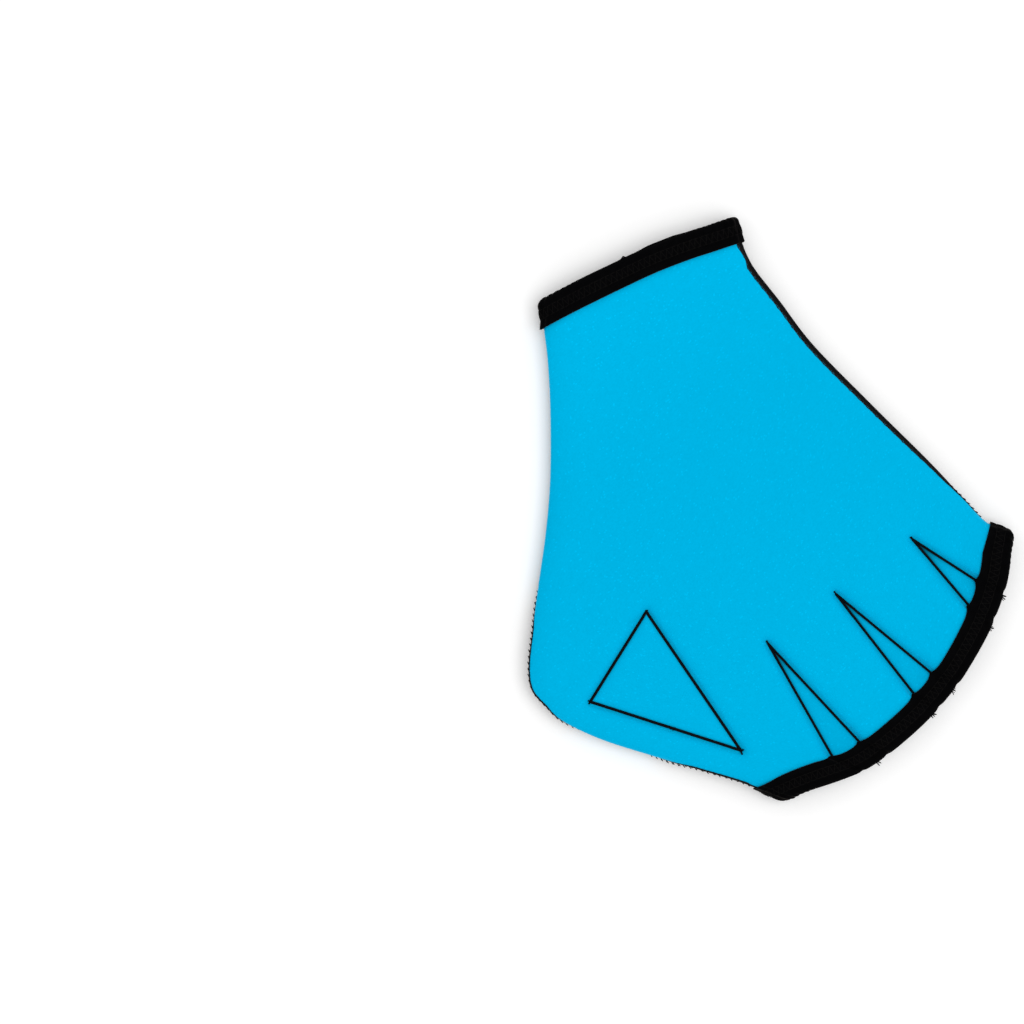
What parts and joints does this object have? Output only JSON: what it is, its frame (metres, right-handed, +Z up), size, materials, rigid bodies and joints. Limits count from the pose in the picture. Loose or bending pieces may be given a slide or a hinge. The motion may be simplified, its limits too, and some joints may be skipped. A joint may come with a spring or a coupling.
{
  "type": "webbed swim glove",
  "caption": "Fingerless webbed swim glove in foam rubber, lying flat, with taped wrist and finger mouths and sewn webs between the fingers.",
  "frame": {"origin": "on the table under the middle of the glove's box", "axes": "+Z up out of the back of the hand, +Y from the fingers to the wrist, +X from the thumb to the little finger"},
  "size_m": [0.1866, 0.2168, 0.0133],
  "materials": {
    "blue_knit": "matte knit face on foam rubber",
    "black_knit": "matte knit face on foam rubber",
    "black_tape": "matte knitted tape",
    "black_thread": "spun sewing thread"
  },
  "bodies": {
    "root": {"hand_back_panel": "blue_knit", "palm_panel": "black_knit", "wrist_binding": "black_tape", "finger_binding": "black_tape", "web_seam_index_middle": "black_thread", "web_seam_middle_ring": "black_thread", "web_seam_ring_little": "black_thread", "web_seam_thumb": "black_thread"}
  },
  "joints": []
}
